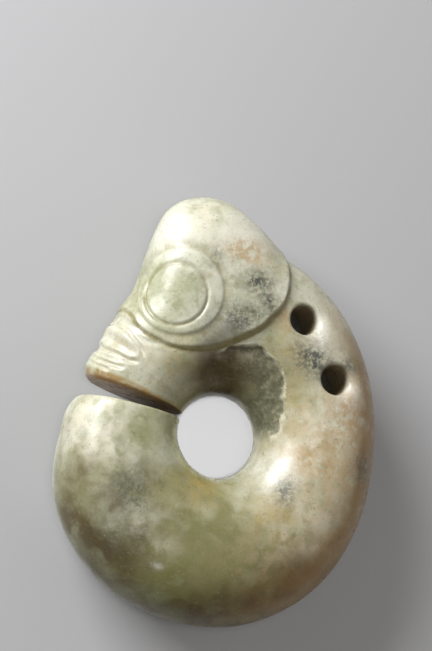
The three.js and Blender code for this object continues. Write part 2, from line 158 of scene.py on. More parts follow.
# Clouds on the stone's upper face: what they are, place in plan as shares of the height, radii in
# millimetres and strength. Most are the stone's own colour; the low olive and umber clouds also paint
# in shade, and two white clouds are painted highlights on the cord holes' worn flares
CLOUDS = [
    ("dark", [0.069, 0.348], (4, 3), 0.8), ("dark", [0.03, 0.268], (7, 4), 0.6),
    ("dark", [0.092, 0.3], (3, 5), 0.7), ("dark", [-0.03, 0.405], (2, 4), 0.4),
    ("dark", [0.2, 0.174], (5, 5), 1.0), ("dark", [0.292, 0.165], (3, 2), 0.7),
    ("dark", [0.133, -0.131], (3, 4), 0.6), ("dark", [-0.222, -0.13], (6, 6), 0.5),
    ("dark", [0.326, -0.075], (3, 4), 0.6), ("dark", [-0.24, -0.23], (8, 6), 0.35),
    # Olive stone; the big olive clouds low down also paint in shade, darker towards the bottom
    ("olive_and_shade", [-0.02, -0.29], (38, 24), 1.0), ("olive_and_shade", [-0.21, -0.28], (22, 16), 0.85),
    ("olive_and_shade", [-0.34, -0.12], (9, 14), 0.6),
    ("olive_and_shade", [-0.12, -0.12], (22, 14), 0.6), ("olive_and_shade", [-0.15, 0.02], (9, 14), 0.55),
    # The first two white clouds are painted highlights on the cord holes' worn lower right flares
    ("white_and_highlight", [0.221, 0.245], (3.4, 5.2), 1.0), ("white_and_highlight", [0.293, 0.107], (3.4, 5.2), 1.0),
    ("white_and_highlight", [-0.26, 0.2], (8, 8), 0.4), ("white_and_highlight", [0.27, 0.3], (5, 12), 0.5),
    ("white_and_highlight", [0.135, 0.33], (3, 6), 0.5),
    ("white_and_highlight", [0.06, 0.47], (12, 6), 0.4), ("white_and_highlight", [-0.13, 0.47], (9, 9), 0.4),
    ("white_and_highlight", [0.11, -0.1], (6, 8), 0.6), ("tan", [-0.12, 0.15], (9, 7), 0.6),
    # Umber clouds: brown staining and painted shade, darker along the bottom, shadowed at the lower
    # left
    ("umber_and_shade", [0, -0.43], (46, 9), 0.9), ("umber_and_shade", [-0.32, -0.27], (15, 24), 0.9),
    ("umber_and_shade", [0.23, -0.34], (22, 10), 0.9), ("umber_and_shade", [-0.37, -0.1], (6, 14), 0.5),
    ("tan", [0.25, -0.07], (16, 34), 0.95), ("tan", [0.2, -0.28], (20, 14), 0.8),
    ("tan", [0.12, 0.42], (12, 12), 0.4), ("tan", [0.22, 0.1], (10, 10), 0.6),
    ("olive_and_shade", [0.11, 0.07], (8, 24), 0.45), ("olive_and_shade", [-0.08, 0.15], (20, 5), 0.5),
    ("ochre", [-0.078, -0.124], (9, 5), 0.7), ("ochre", [0.146, 0.21], (6, 8), 0.5),
    ("ochre", [0.1, -0.18], (9, 6), 0.6), ("ochre", [0.16, 0.06], (4, 12), 0.4),
    ("ochre", [-0.25, 0.2], (4, 6), 0.25), ("ochre", [0.27, 0.36], (5, 12), 0.35),
    ("russet", [0.041, 0.418], (6, 3), 0.8), ("russet", [0.286, 0.05], (4, 7), 0.6),
    ("russet", [0.18, -0.057], (5, 4), 0.6), ("russet", [0.243, -0.01], (6, 6), 0.5),
    ("russet", [-0.24, 0.34], (3, 5), 0.6), ("russet", [0.13, 0.27], (2, 3), 0.6),
    ("russet", [0.22, -0.08], (7, 5), 0.45),
    ("beige", [0.168, -0.194], (13, 9), 0.5), ("beige", [0.192, -0.012], (10, 16), 0.6),
    ("beige", [-0.044, 0.49], (12, 8), 0.7), ("beige", [-0.29, 0.026], (9, 12), 0.8),
    ("beige", [-0.155, -0.258], (5, 4), 0.35), ("beige", [0.05, 0.46], (12, 8), 0.5),
    ("beige", [0.25, 0.2], (6, 16), 0.5), ("beige", [-0.2, -0.2], (5, 4), 0.4),
    ("white_and_highlight", [-0.165, -0.297], (0.8, 0.8), 1.0), ("beige", [-0.22, 0.19], (8, 8), 0.5),
]

CLOUD_WARP = 0.45  # how far clouds are pulled about, as a share of their smaller radius
CLOUD_WARP_SIZE = 7
CLOUD_FALL = 0.7  # how fast a cloud fades away from its centre
CLOUD_LEVELS = (-4, 6)  # the heights between which the clouds fade in from below

# Where the colours that follow the form lie: shares of the way from tail to snout, degrees round
# the bore, and across, from -1 on the bore to 1 on the outline. The amber and the snout are stains;
# the rim is russet with a painted warm bounce, the hollow is a brown tint with painted shade, and the
# olive in the bore is olive tone with painted shade
AMBER_FROM = (0.9875, 0.994)
SNOUT_FROM = (0.9955, 0.9985)
RIM_CENTRE = 340
RIM_REACH = (30, 85)
RIM_ACROSS = (0.1, 0.85)
HOLLOW_FROM = (405, 450)
HOLLOW_PAST = (470, 500)
HOLLOW_ACROSS = (0.1, 0.8)
OLIVE_ACROSS = (0.35, 0.95)
AMBER_FALL = 0.3  # how much weaker the amber is halfway across than on the outline
HOLLOW_FALL = 0.7  # how much weaker the painted shade and brown tint of the hollow are towards the snout
OLIVE_IN_BORE = 0.6

# Dirt in the carved lines: where it lies from the ears' edge, and how strong it is elsewhere
EAR_GRIME_AT = 0.15
EAR_GRIME_WIDTH = 1.05
RING_GRIME = 0.5
PLATE_GRIME = 0.35
WRINKLE_GRIME = 0.15

# The mesh: sections round the ring, and points round a section
FINE_SIDES = 300  # on the head; the body has half as many
FINE_START = 401  # the angle at which the head's fine part starts
# Rows of [angle round the bore, degrees to the next section]
STATION_STEP = [[163.8, 1.25], [393, 1.2], [401, 0.62], [425, 0.6], [445, 0.54], [516.6, 0.56]]
EDGE_STEPS = 5
CAP_RINGS = 8
TURN_SAMPLES = 721
BORE_FROM = 0.6  # the share of the half turn from which the points get wider apart
BORE_SPARES = 0.45  # how much less length counts there when the points are laid, as a share
HOLE_MARGIN = 1.2
HOLE_BLENDS = 3
HOLE_BENDS = 6
HOLE_WALLS = 6

NOISE_SMOOTHNESS = 0.9
NOISE_STEP = 2.0  # how much finer each layer of the noise is

HALF_DEPTH = (THICKNESS + REST_DEPTH) / 2


def curve_through(rows):
    """A smooth curve through rows of [angle, value], held level past both ends."""
    x, y = np.array(rows, float).T
    span = np.diff(x)
    rate = np.diff(y) / span
    inner = (span[1:] * rate[:-1] + span[:-1] * rate[1:]) / (span[:-1] + span[1:])
    slope = np.concatenate([rate[:1], inner, rate[-1:]])

    def value(angle):
        a = np.clip(angle, x[0], x[-1])
        i = np.clip(np.searchsorted(x, a, side="right") - 1, 0, len(x) - 2)
        f = (a - x[i]) / span[i]
        rest = 1 - f
        start = (1 + 2 * f) * rest**2 * y[i] + f * rest**2 * span[i] * slope[i]
        end = (3 - 2 * f) * f**2 * y[i + 1] - f**2 * rest * span[i] * slope[i + 1]
        return start + end

    return value


body_share, head_share = curve_through(BODY_OUTLINE), curve_through(HEAD_OUTLINE)
face_share, ear_fade = curve_through(FACE_DEPTH), curve_through(EAR_FADE)
outer_roundness, bore_roundness = curve_through(OUTER_ROUNDNESS), curve_through(BORE_ROUNDNESS)
body_skin = (lambda a: HEIGHT * body_share(a), lambda a: HALF_DEPTH * face_share(a))
head_skin = (
    lambda a: HEIGHT * head_share(a),
    lambda a: HALF_DEPTH * face_share(a) + EAR_RELIEF * ear_fade(a),
)


def smooth(low, high, x):
    """0 below low, 1 above high and a smooth step between."""
    f = np.clip((x - low) / (high - low), 0, 1)
    return f * f * (3 - 2 * f)


def hump(x):
    """1 at 0, falling smoothly to 0 at 1 and beyond."""
    return np.clip(1 - x * x, 0, 1) ** 2


def section_angles(t):
    """Both ends of the section at share t of the way from tail to snout, in degrees."""
    at_bore = np.degrees(np.arcsin(SLIT_THROAT / 2 / BORE_RADIUS))
    at_outline = np.degrees(np.arcsin(SLIT_MOUTH / 2 / body_skin[0](SLIT_AT_OUTLINE)))
    inner = SLIT_AT_BORE + at_bore + t * (TURN - 2 * at_bore)
    outer = SLIT_AT_OUTLINE + at_outline + t * (TURN - 2 * at_outline)
    return inner, outer


def polar(radius, angle):
    a = np.radians(angle)
    return np.stack([radius * np.cos(a), radius * np.sin(a)], -1)


def signed_power(x, power):
    return np.sign(x) * np.abs(x) ** power


def skin_point(skin, t, turn, grow=0.0, scale=1.0):
    """The point of a skin at t and at turn round its section: 0 on the outline, pi on the bore.
    The section is swelled by grow and scaled about its middle."""
    radius, depth = skin
    inner, outer = section_angles(t)
    near_bore = polar(BORE_RADIUS - grow, inner)
    at_outline = polar(radius(outer) + grow, outer)
    c, s = np.cos(turn), np.sin(turn)
    power = 2 / np.where(c > 0, outer_roundness(outer), bore_roundness(outer))
    across = signed_power(c, power) * scale
    up = signed_power(s, power) * (depth(outer) + grow) * scale
    share = ((across + 1) / 2)[..., None]
    plan = near_bore + (at_outline - near_bore) * share
    return np.concatenate([plan, up[..., None]], -1)


def locate(skin, plan):
    """The t and turn of the skin above points in plan. A point past the outline counts as on it."""
    lean, halvings = 0.05, 24
    angle = np.degrees(np.arctan2(plan[..., 1], plan[..., 0]))
    guess = ((angle - SLIT_AT_OUTLINE + TURN) % TURN) / TURN
    low, high = guess - lean, guess + lean
    for _ in range(halvings):
        t = (low + high) / 2
        inner, outer = section_angles(t)
        start = polar(BORE_RADIUS, inner)
        span = polar(skin[0](outer), outer) - start
        off = plan - start
        ahead = span[..., 0] * off[..., 1] - span[..., 1] * off[..., 0] > 0
        low, high = np.where(ahead, t, low), np.where(ahead, high, t)
    share = (off * span).sum(-1) / (span * span).sum(-1)
    across = np.clip(2 * share - 1, -1, 1)
    power = np.where(across > 0, outer_roundness(outer), bore_roundness(outer)) / 2
    return low, np.arccos(signed_power(across, power))


def spline(points, steps=12):
    """A smooth line through points."""
    p = np.array(points, float)
    p = np.concatenate([p[:1], p, p[-1:]])
    f = np.linspace(0, 1, steps, endpoint=False)[None, :, None]
    a, b, c, d = (p[k:len(p) - 3 + k, None] for k in range(4))
    line = b + 0.5 * f * (c - a + f * (2 * a - 5 * b + 4 * c - d + f * (3 * (b - c) + d - a)))
    return np.concatenate([line.reshape(-1, p.shape[1]), p[-1:]])


def nearest_on(line, points):
    """The distance from each point to a line, and the share of the line where it is nearest."""
    start, span = line[:-1], np.diff(line, axis=0)
    length = (span * span).sum(-1) + 1e-12
    best = np.full(len(points), np.inf)
    along = np.zeros(len(points))
    for i in range(len(start)):
        off = points - start[i]
        f = np.clip((off @ span[i]) / length[i], 0, 1)
        gap = ((off - f[:, None] * span[i]) ** 2).sum(-1)
        closer = gap < best
        best = np.where(closer, gap, best)
        along = np.where(closer, (i + f) / len(start), along)
    return np.sqrt(best), along


def inside(outline, points):
    """Whether each point in plan lies inside a closed outline."""
    found = np.zeros(len(points), bool)
    x, y = points[:, 0], points[:, 1]
    for (x0, y0), (x1, y1) in zip(outline, np.roll(outline, -1, 0)):
        crosses = (y0 > y) != (y1 > y)
        reach = x0 + (y - y0) * (x1 - x0) / np.where(y1 == y0, 1, y1 - y0)
        found ^= crosses & (x < reach)
    return found


def fractal(points, size, octaves=3, seed=0.0):
    """Smooth noise from about -1 to 1 at points, with features of a size in millimetres."""
    shift = Vector((seed, seed * 1.7, -seed))
    settings = (NOISE_SMOOTHNESS, NOISE_STEP, octaves)
    return np.array([
        noise.fractal(Vector(p) + shift, *settings, noise_basis="PERLIN_ORIGINAL")
        for p in points / size
    ])


def skin_normal(t, turn, ear):
    """Where the surface faces at t and turn, before it is carved."""
    step = 0.004

    def at(dt, dturn):
        body = skin_point(body_skin, t + dt, turn + dturn)
        head = skin_point(head_skin, t + dt, turn + dturn)
        return body + (head - body) * ear[:, None]

    normal = np.cross(at(step, 0) - at(-step, 0), at(0, step) - at(0, -step))
    return normal / np.linalg.norm(normal, axis=1)[:, None]


def ear_step(body, head):
    """How far each point is inside the ears' edge, and its share of the ears' relief."""
    edge = spline(np.array(EAR_EDGE) * HEIGHT)
    around = np.concatenate([edge, np.array(HEAD_AROUND) * HEIGHT])
    near = body[:, 1] > HEAD_FROM * HEIGHT
    ear_gap = np.full(len(body), -float(HEIGHT))
    gap, _ = nearest_on(edge, body[near, :2])
    ear_gap[near] = np.where(inside(around, body[near, :2]), gap, -gap)
    ear = smooth(*EAR_BEVEL, ear_gap)

    # The notch between the two ears
    off = head[:, :2] - np.array(NOTCH_CENTRE) * HEIGHT
    reach = np.linalg.norm(off, axis=1)
    wall = np.sqrt(head[:, 2] ** 2 + NOTCH_ROUNDING) / np.tan(np.radians(EAR_NOTCH_HALF_ANGLE))
    cut = np.minimum(1, (NOTCH_BOTTOM * HEIGHT + wall) / reach)
    head[:, :2] += off * (cut - 1)[:, None] * (ear_gap > 0)[:, None]
    below = np.linalg.norm(head[:, :2], axis=1) < np.linalg.norm(body[:, :2], axis=1)
    return ear_gap, np.where(below & (cut < 1), 0, ear)


def eye_relief(face):
    """The eye: a low dome, the ring cut round it, the plate that both sit in, and their dirt."""
    t, turn = locate(head_skin, np.array([EYE_CENTRE]) * HEIGHT)
    centre = skin_point(head_skin, t, turn)[0]
    up = skin_normal(t, turn, np.ones(1))[0]
    out = face - centre
    lift = out @ up
    radius = np.linalg.norm(out - lift[:, None] * up, axis=1)
    near_plane = np.abs(lift) < HALF_DEPTH * EYE_REACH
    radius = np.where(near_plane, radius, HEIGHT)
    out[:, :2] -= EYE_DISC_OFFSET
    disc = np.linalg.norm(out - (out @ up)[:, None] * up, axis=1)
    disc = np.where(near_plane, disc, HEIGHT)
    dome = EYE_DOME * hump(disc / EYE_DISC_RADIUS)
    half = EYE_RING_WIDTH / 2
    ring = hump((disc - EYE_DISC_RADIUS - half) / half)
    ground = smooth(EYE_PLATE_RADIUS - PLATE_RIM, EYE_PLATE_RADIUS, radius)
    ground *= 1 - smooth(EYE_PLATE_RADIUS, EYE_PLATE_RADIUS + PLATE_SLOPE, radius)
    relief = dome - EYE_RING_DEPTH * ring - PLATE_RELIEF * ground
    return relief, RING_GRIME * ring + PLATE_GRIME * ground


def wrinkle_relief(face):
    """The furrows across the muzzle, and their dirt."""
    x, y = face[:, 0] / HEIGHT, face[:, 1] / HEIGHT
    lowest, highest = WRINKLES_BETWEEN
    near = (x < WRINKLES_LEFT_OF) & (y > lowest) & (y < highest)
    height, grime = np.zeros(len(face)), np.zeros(len(face))
    for rows, width, depth in WRINKLES:
        t, turn = locate(body_skin, np.array(rows) * HEIGHT)
        spots = spline(np.stack([t, turn], -1))
        line = skin_point(body_skin, spots[:, 0], spots[:, 1])
        gap, along = nearest_on(line, face[near])
        furrow = hump(gap / width) * (1 - smooth(*WRINKLE_END, along)) * smooth(*WRINKLE_START, along)
        height[near] -= depth * furrow
        grime[near] = np.maximum(grime[near], WRINKLE_GRIME * furrow)
    return height, grime


def scar_relief(body, point):
    """The unpolished patch beside the bore, on the upper face only, its stain and its lip."""
    line = spline(np.array(SCAR_EDGE) * HEIGHT)
    gap, along = nearest_on(line, body[:, :2])
    nearest = line[np.clip((along * (len(line) - 1)).round().astype(int), 0, len(line) - 1)]
    within = np.linalg.norm(body[:, :2], axis=1) < np.linalg.norm(nearest, axis=1)
    first, last = SCAR_ENDS
    ends = smooth(0, first, along) * (1 - smooth(last, 1, along))
    here = within * (body[:, 2] > 0) * ends
    some = np.nonzero(here)[0]
    wobble, rough = np.zeros(len(body)), np.zeros(len(body))
    edge_size, edge_height = SCAR_EDGE_WAVES
    floor_size, floor_height = SCAR_FLOOR_WAVES
    wobble[some] = fractal(point[some], edge_size, 2, 5.0)
    rough[some] = fractal(point[some], floor_size, 4)
    gap = gap + edge_height * wobble
    scar = here * smooth(0, SCAR_WALL, gap) * (1 - smooth(SCAR_FLOOR, SCAR_WIDTH, gap))
    stain = here * smooth(0, SCAR_STAIN_EDGE, gap) * (1 - smooth(SCAR_STAIN / 2, SCAR_STAIN, gap))
    # The lip rises a little and is painted paler: a pale edge with a painted highlight along it
    lip = here * hump((gap - SCAR_LIP_AT) / SCAR_LIP_WIDTH)
    return SCAR_LIP * lip - scar * (SCAR_DEPTH + floor_height * rough), stain, lip


def cloud_masks(point):
    """How strongly each kind of cloud shows at each point: the stone's own colours, with painted
    shade and highlight among them.
    """
    warp = np.stack([fractal(point, CLOUD_WARP_SIZE, 3, seed) for seed in (11.0, 17.0)], -1)
    level = smooth(*CLOUD_LEVELS, point[:, 2])
    masks = {}
    for kind, centre, radii, strength in CLOUDS:
        reach = CLOUD_WARP * min(radii)
        off = (point[:, :2] - np.array(centre) * HEIGHT + warp * reach) / np.array(radii)
        shape = np.exp(-CLOUD_FALL * (off * off).sum(-1)) * level
        masks[kind] = np.maximum(masks.get(kind, 0), strength * shape)
    return masks


def carve(t, turn, grow, scale):
    """The finished surface at t and turn, and the masks of the colours on it."""
    body = skin_point(body_skin, t, turn, grow, scale)
    head = skin_point(head_skin, t, turn, grow, scale)
    ear_gap, ear = ear_step(body, head)
    point = body + (head - body) * ear[:, None]
    normal = skin_normal(t, turn, ear)
    face = np.concatenate([point[:, :2], np.abs(point[:, 2:])], 1)  # both faces are carved alike

    from_edge = ear_gap / EAR_FOOT_WIDTH
    foot = np.where(ear_gap < 0, np.clip(1 + from_edge, 0, 1), hump(from_edge))
    height = -EAR_FOOT_DEPTH * foot * foot
    grime = hump((ear_gap - EAR_GRIME_AT) / EAR_GRIME_WIDTH)
    for relief, dirt in (eye_relief(face), wrinkle_relief(face)):
        height += relief
        grime = np.maximum(grime, dirt)
    ridge = np.exp(-((point[:, 2] / BRIDGE_HALF_WIDTH) ** 2)) * (point[:, 0] < BRIDGE_LEFT_OF * HEIGHT)
    height -= BRIDGE_DIP * ridge * hump((point[:, 1] / HEIGHT - BRIDGE_DIP_AT) / BRIDGE_DIP_REACH)
    relief, stain, lip = scar_relief(body, point)
    height += relief

    # The hand-polished surface is never quite even
    for size, rise, seed in POLISH_WAVES:
        height += rise * fractal(point, size, 2, seed)
    _, outer = section_angles(t)
    point = point + normal * height[:, None]
    point[:, 2] = np.maximum(point[:, 2], REST_DEPTH - HALF_DEPTH)
    masks = cloud_masks(point)
    across = np.cos(turn)
    # Russet on the outer side towards the right, with a painted warm bounce of light
    rim = smooth(*RIM_ACROSS, across) * (1 - smooth(*RIM_REACH, np.abs(outer - RIM_CENTRE)))
    # Painted shade with a brown tint on the upper side of the bore
    hollow = smooth(*HOLLOW_ACROSS, -across) * smooth(*HOLLOW_FROM, outer)
    hollow *= 1 - HOLLOW_FALL * smooth(*HOLLOW_PAST, outer)
    amber = smooth(*AMBER_FROM, t) * (1 - AMBER_FALL + AMBER_FALL * across)
    # Painted shade: olive darkens the bore side of each section
    masks["olive_and_shade"] = np.maximum(masks["olive_and_shade"], OLIVE_IN_BORE * smooth(*OLIVE_ACROSS, -across))
    masks.update(grime=grime, scar=stain, lip=lip, rim=rim, hollow=hollow)
    masks.update(amber=amber, snout=smooth(*SNOUT_FROM, t))
    return point, masks


def stations():
    """Sections from tail to snout: t, how much each is shrunk, and its scale on the slit's faces."""
    step = curve_through(STATION_STEP)
    _, (start, end) = section_angles(np.array([0.0, 1.0]))
    edge = SLIT_EDGE / (np.pi * (BORE_RADIUS + body_skin[0](SLIT_AT_OUTLINE)))
    angles = [start]
    while angles[-1] < end:
        angles.append(angles[-1] + float(step(angles[-1])))
    t = edge + (np.array(angles) - start) / (angles[-1] - start) * (1 - 2 * edge)
    bends = np.radians(np.linspace(90, 0, EDGE_STEPS, endpoint=False))[1:]
    caps = [(0.0, SLIT_EDGE, s) for s in np.linspace(0, 1, CAP_RINGS + 1)[1:]]
    rounding = [(edge * (1 - np.sin(a)), SLIT_EDGE * (1 - np.cos(a)), 1.0) for a in bends]
    first = caps + rounding
    last = [(1 - place, shrink, scale) for place, shrink, scale in first[::-1]]
    return first + [(place, 0.0, 1.0) for place in t] + last


def even_turns(t, sides):
    """Turns that space points evenly round the section at t, wider apart in the bore."""
    samples = np.linspace(0, np.pi, TURN_SAMPLES)
    place = skin_point(head_skin, np.full(len(samples), np.clip(t, 0, 1)), samples)
    gap = np.linalg.norm(np.diff(place, axis=0), axis=1)
    middle = (samples[1:] + samples[:-1]) / 2
    gap *= 1 - BORE_SPARES * smooth(BORE_FROM * np.pi, np.pi, middle)
    length = np.concatenate([[0], np.cumsum(gap)])
    half = np.interp(np.linspace(0, length[-1], sides // 2 + 1), length, samples)
    return np.concatenate([half, 2 * np.pi - half[-2:0:-1]])


class Grid:
    """The stone's surface as spots of (t, turn, grow, scale) and the faces between them."""

    def __init__(self):
        rows = stations()
        _, angles = section_angles(np.array([row[0] for row in rows]))
        self.faces, self.starts, self.sides, spots = [], [], [], []
        for row, angle in zip(rows, angles):
            turns = even_turns(row[0], FINE_SIDES)
            if angle < FINE_START:
                turns = turns[::2]
            self.starts.append(len(spots))
            self.sides.append(len(turns))
            spots += [(row[0], turn, -row[1], row[2]) for turn in turns]
        self.spots = np.array(spots)
        self.cells = {}
        for i in range(len(rows) - 1):
            for k in range(self.sides[i]):
                self.cells[i, k] = self.cell(i, k)

    def at(self, i, k):
        return self.starts[i] + k % self.sides[i]

    def cell(self, i, k):
        """The faces between sections i and i + 1 from point k on."""
        if self.sides[i] == self.sides[i + 1]:
            return [(self.at(i, k), self.at(i, k + 1), self.at(i + 1, k + 1), self.at(i + 1, k))]
        left, middle, right = (self.at(i + 1, 2 * k + j) for j in range(3))
        here, after = self.at(i, k), self.at(i, k + 1)
        return [(here, middle, left), (here, after, middle), (after, right, middle)]

    def open_round(self, centre, reach):
        """Takes out the cells round a point of the upper face, and those below them, and gives
        back the spots round both openings in matching order."""
        place = skin_point(body_skin, self.spots[:, 0], self.spots[:, 1])
        close = (np.linalg.norm(place[:, :2] - centre, axis=1) < reach) & (place[:, 2] > 0)
        found = np.nonzero(close & (self.spots[:, 3] == 1))[0]
        rows = np.searchsorted(self.starts, found, side="right") - 1
        columns = found - np.array(self.starts)[rows]
        i0, i1, k0, k1 = rows.min() - 1, rows.max() + 1, columns.min() - 1, columns.max() + 1
        sides = self.sides[i0]
        for i in range(i0, i1):
            for k in range(k0, k1):
                del self.cells[i, k]
                del self.cells[i, sides - 1 - k]
        loop = [(i0, k) for k in range(k0, k1)] + [(i, k1) for i in range(i0, i1)]
        loop += [(i1, k) for k in range(k1, k0, -1)] + [(i, k0) for i in range(i1, i0, -1)]
        return [self.at(i, k) for i, k in loop], [self.at(i, sides - k) for i, k in loop]


def hole_rings(centre, spots):
    """Spots from an opening's edge in to the wall of a cord hole, ring by ring, with how far each
    is pulled in from the face. The cord has worn the mouth wider on one side."""
    edge = skin_point(body_skin, spots[:, 0], spots[:, 1])[:, :2] - centre
    angle = np.arctan2(edge[:, 1], edge[:, 0])
    worn = np.clip(np.cos(angle - np.radians(CORD_WEAR_TOWARDS)), 0, 1) ** 2
    width = CORD_EDGE + CORD_WEAR * worn
    depth = CORD_EDGE + CORD_WEAR_DEPTH * CORD_WEAR * worn

    def ring(radius):
        plan = centre + radius[:, None] * np.stack([np.cos(angle), np.sin(angle)], -1)
        return np.stack(locate(body_skin, plan), -1)

    outer = ring(CORD_MOUTH_RADIUS + width)
    level = np.zeros(len(spots))
    blends = np.linspace(0, 1, HOLE_BLENDS + 1)[1:]
    rings = [(spots[:, :2] + (outer - spots[:, :2]) * share, level) for share in blends]
    for bend in np.radians(np.linspace(0, 90, HOLE_BENDS + 1))[1:]:
        radius = CORD_MOUTH_RADIUS + width * (1 - np.sin(bend))
        rings.append((ring(radius), depth * (1 - np.cos(bend))))
    return angle, rings


def make_stone():
    """The whole carving: the grid, the two cord holes through it and the middles of its two ends."""
    grid = Grid()
    spots, drops = [grid.spots], [np.zeros(len(grid.spots))]
    count = len(grid.spots)
    faces, walls = [], []
    for row in CORD_HOLES:
        centre = np.array(row) * HEIGHT
        worn = centre + polar(CORD_WEAR / 2, CORD_WEAR_TOWARDS)
        reach = CORD_MOUTH_RADIUS + CORD_EDGE + CORD_WEAR / 2 + HOLE_MARGIN
        upper, lower = grid.open_round(worn, reach)
        angle, rings = hole_rings(centre, grid.spots[upper])
        mouths = []
        for side, loop in ((1, upper), (-1, lower)):
            for place, drop in rings:
                spots.append(np.stack([place[:, 0], side * place[:, 1], 0 * drop, 0 * drop + 1], -1))
                drops.append(-side * drop)
                new = list(range(count, count + len(loop)))
                faces += joined(loop, new)
                loop, count = new, count + len(loop)
            mouths.append(loop)
        walls.append((centre, angle, mouths))

    spots, drops = np.concatenate(spots), np.concatenate(drops)
    point, masks = carve(*spots.T)
    point[:, 2] += drops
    shared = len(point)
    extra = []
    for centre, angle, (upper, lower) in walls:
        plan = centre + CORD_THROAT_RADIUS * np.stack([np.cos(angle), np.sin(angle)], -1)
        throat = np.concatenate([plan, np.zeros((len(plan), 1))], 1)
        levels = []
        for mouth in (upper, lower):
            loop = mouth
            for f in np.linspace(0, 1, HOLE_WALLS + 1)[1:-1]:
                extra.append(point[mouth] + (throat - point[mouth]) * f)
                new = list(range(count, count + len(loop)))
                faces += joined(loop, new)
                loop, count = new, count + len(loop)
            levels.append(loop)
        extra.append(throat)
        middle = list(range(count, count + len(angle)))
        count += len(angle)
        faces += joined(levels[0], middle) + joined(levels[1], middle)
    # Painted shade: the cord holes' walls are coloured darker
    masks["hole"] = (np.arange(count) >= shared).astype(float)
    for i, way in ((0, 1), (len(grid.sides) - 1, -1)):
        ring = [grid.at(i, k) for k in range(grid.sides[i])]
        extra.append(point[ring].mean(0)[None])
        faces += [(count, *pair[::way]) for pair in zip(ring, ring[1:] + ring[:1])]
        count += 1
    point = np.concatenate([point, *extra])
    faces += [face for cell in grid.cells.values() for face in cell]
    return stone_object(point, faces, masks)


def joined(ring, other):
    """Faces between two closed rings of as many points."""
    return [(a, b, d, c) for a, b, c, d in zip(ring, ring[1:] + ring[:1], other, other[1:] + other[:1])]


def stone_object(point, faces, masks):
    """The mesh in metres, in the frame, with the masks as its attributes."""
    used = np.unique(np.concatenate([np.array(face) for face in faces]))
    order = np.zeros(len(point), int)
    order[used] = np.arange(len(used))
    faces = [tuple(order[list(face)]) for face in faces]
    middle = (point[used].min(0) + point[used].max(0)) / 2
    place = (np.array(cad_low) + np.array(cad_high)) / 2
    mesh = bpy.data.meshes.new("stone")
    mesh.from_pydata(((point[used] - middle) * MM + place).tolist(), [], faces)
    for name, values in masks.items():
        whole = np.zeros(len(point), np.float32)
        whole[:len(values)] = values
        attribute = mesh.attributes.new(name, "FLOAT", "POINT")
        attribute.data.foreach_set("value", whole[used])
    shape = bmesh.new()
    shape.from_mesh(mesh)
    bmesh.ops.recalc_face_normals(shape, faces=shape.faces)
    shape.to_mesh(mesh)
    shape.free()
    mesh.shade_smooth()
    stone = bpy.data.objects.new("stone", mesh)
    bpy.context.scene.collection.objects.link(stone)
    return stone


class Jade:
    """Builds the stone's material node by node."""

    def __init__(self):
        self.material = bpy.data.materials.new("jade")
        self.material.use_nodes = True
        self.nodes, self.links = self.material.node_tree.nodes, self.material.node_tree.links
        self.shader = self.nodes["Principled BSDF"]
        self.place = self.nodes.new("ShaderNodeTexCoord").outputs["Object"]

    def clouds(self, size, detail=4, warp=0.0, seed=0.0):
        """Noise with features of a size in millimetres."""
        node = self.nodes.new("ShaderNodeTexNoise")
        node.noise_dimensions = "4D"
        node.inputs["Scale"].default_value = 1 / (size * MM)
        node.inputs["Detail"].default_value = detail
        node.inputs["Distortion"].default_value = warp
        node.inputs["W"].default_value = seed
        self.links.new(self.place, node.inputs["Vector"])
        return node.outputs["Fac"]

    def mask(self, name):
        node = self.nodes.new("ShaderNodeAttribute")
        node.attribute_name = name
        return node.outputs["Fac"]

    def between(self, value, low, high, to_low=0.0, to_high=1.0):
        node = self.nodes.new("ShaderNodeMapRange")
        node.interpolation_type = "SMOOTHSTEP"
        ends = {"From Min": low, "From Max": high, "To Min": to_low, "To Max": to_high}
        for name, number in ends.items():
            node.inputs[name].default_value = number
        self.links.new(value, node.inputs["Value"])
        return node.outputs["Result"]

    def math(self, operation, a, b):
        node = self.nodes.new("ShaderNodeMath")
        node.operation = operation
        for value, socket in zip((a, b), node.inputs):
            if isinstance(value, (int, float)):
                socket.default_value = value
            else:
                self.links.new(value, socket)
        return node.outputs[0]

    def mix(self, factor, a, b):
        node = self.nodes.new("ShaderNodeMix")
        node.data_type = "RGBA"
        self.links.new(factor, node.inputs["Factor"])
        for value, socket in ((a, node.inputs["A"]), (b, node.inputs["B"])):
            if isinstance(value, tuple):
                socket.default_value = (*value, 1)
            else:
                self.links.new(value, socket)
        return node.outputs["Result"]

    def patches(self, base, colour, size, detail, warp, seed, low, high, most):
        """The base with a colour over it where noise rises from low to high."""
        share = self.between(self.clouds(size, detail, warp, seed), low, high, 0, most)
        return self.mix(share, base, colour)


# Noises are given by their size, detail, warp and seed
CELADON = (0.40, 0.415, 0.27)
PALE = (0.60, 0.605, 0.49)
PALE_CLOUDS = (16, 5, 0.6, 0.0)
PALE_LEVELS = (0.38, 0.64)
